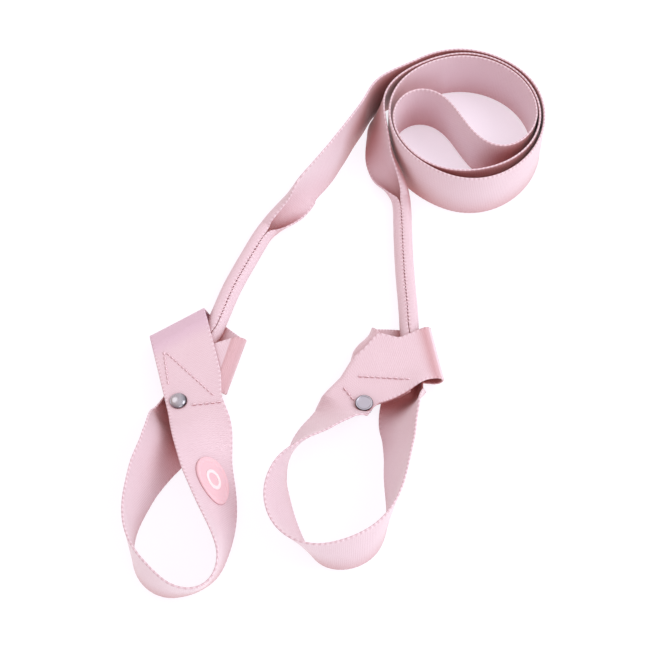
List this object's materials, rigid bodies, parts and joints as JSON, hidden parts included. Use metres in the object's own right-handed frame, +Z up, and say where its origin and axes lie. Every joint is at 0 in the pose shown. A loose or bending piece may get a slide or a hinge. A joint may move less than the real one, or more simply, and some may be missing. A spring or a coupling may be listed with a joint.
{
  "type": "stretching strap",
  "caption": "Long flat webbing stretching strap wound into a standing coil, each end turned back on itself as an adjustable hand loop with a stitched, riveted sliding keeper.",
  "frame": {"origin": "centre of the bounding box's bottom face, on the plane the coil stands on", "axes": "+Z up, the nooses lie towards -Y, the coil towards +Y, the left noose is on the -X side"},
  "size_m": [0.265, 0.3974, 0.0389],
  "materials": {
    "webbing": "pale pink satin webbing with fine cross ribs and beaded selvedges",
    "thread": "pink sewing thread",
    "rivet_metal": "satin nickel plated rivet",
    "badge_rubber": "matte coral pink soft rubber"
  },
  "bodies": {
    "coil": {"coil_strap": "webbing", "left_exit_strap": "webbing", "right_exit_strap": "webbing"},
    "left_lead": {"left_lead_strap": "webbing"},
    "right_lead": {"right_lead_strap": "webbing"},
    "left_neck": {"left_neck_tube": "webbing", "left_neck_seam_stitching": "thread", "left_noose_return": "webbing"},
    "right_neck": {"right_neck_tube": "webbing", "right_neck_seam_stitching": "thread", "right_noose_return": "webbing"},
    "left_keeper": {"left_noose_front": "webbing", "left_keeper_fold": "webbing", "left_keeper_stitching": "thread", "left_rivet_cap": "rivet_metal", "left_rivet_base": "rivet_metal", "rubber_badge": "badge_rubber", "badge_ring": "badge_rubber"},
    "right_keeper": {"right_noose_front": "webbing", "right_keeper_fold": "webbing", "right_keeper_stitching": "thread", "right_rivet_cap": "rivet_metal", "right_rivet_base": "rivet_metal"}
  },
  "joints": [
    {"name": "left_lead_swing", "type": "hinge", "parent": "coil", "child": "left_lead", "pos_m": [0.00266, 0.13835, 0.019], "axis": [0, 0, 1], "range_deg": [-12, 1]},
    {"name": "right_lead_swing", "type": "hinge", "parent": "coil", "child": "right_lead", "pos_m": [0.0278, 0.11677, 0.019], "axis": [0, 0, 1], "range_deg": [-2, 5]},
    {"name": "left_neck_lift", "type": "hinge", "parent": "left_lead", "child": "left_neck", "pos_m": [-0.05375, 0.06756, 0.01191], "axis": [-0.9232, 0.3842, 0], "range_deg": [0, 50]},
    {"name": "right_neck_lift", "type": "hinge", "parent": "right_lead", "child": "right_neck", "pos_m": [0.03627, 0.09083, 0.01174], "axis": [-0.9998, -0.0195, 0], "range_deg": [0, 50]},
    {"name": "left_keeper_slide", "type": "slide", "parent": "left_neck", "child": "left_keeper", "axis": [0.3842, 0.9232, 0], "range_m": [0, 0.05]},
    {"name": "right_keeper_slide", "type": "slide", "parent": "right_neck", "child": "right_keeper", "axis": [-0.0195, 0.9998, 0], "range_m": [0, 0.05]}
  ]
}
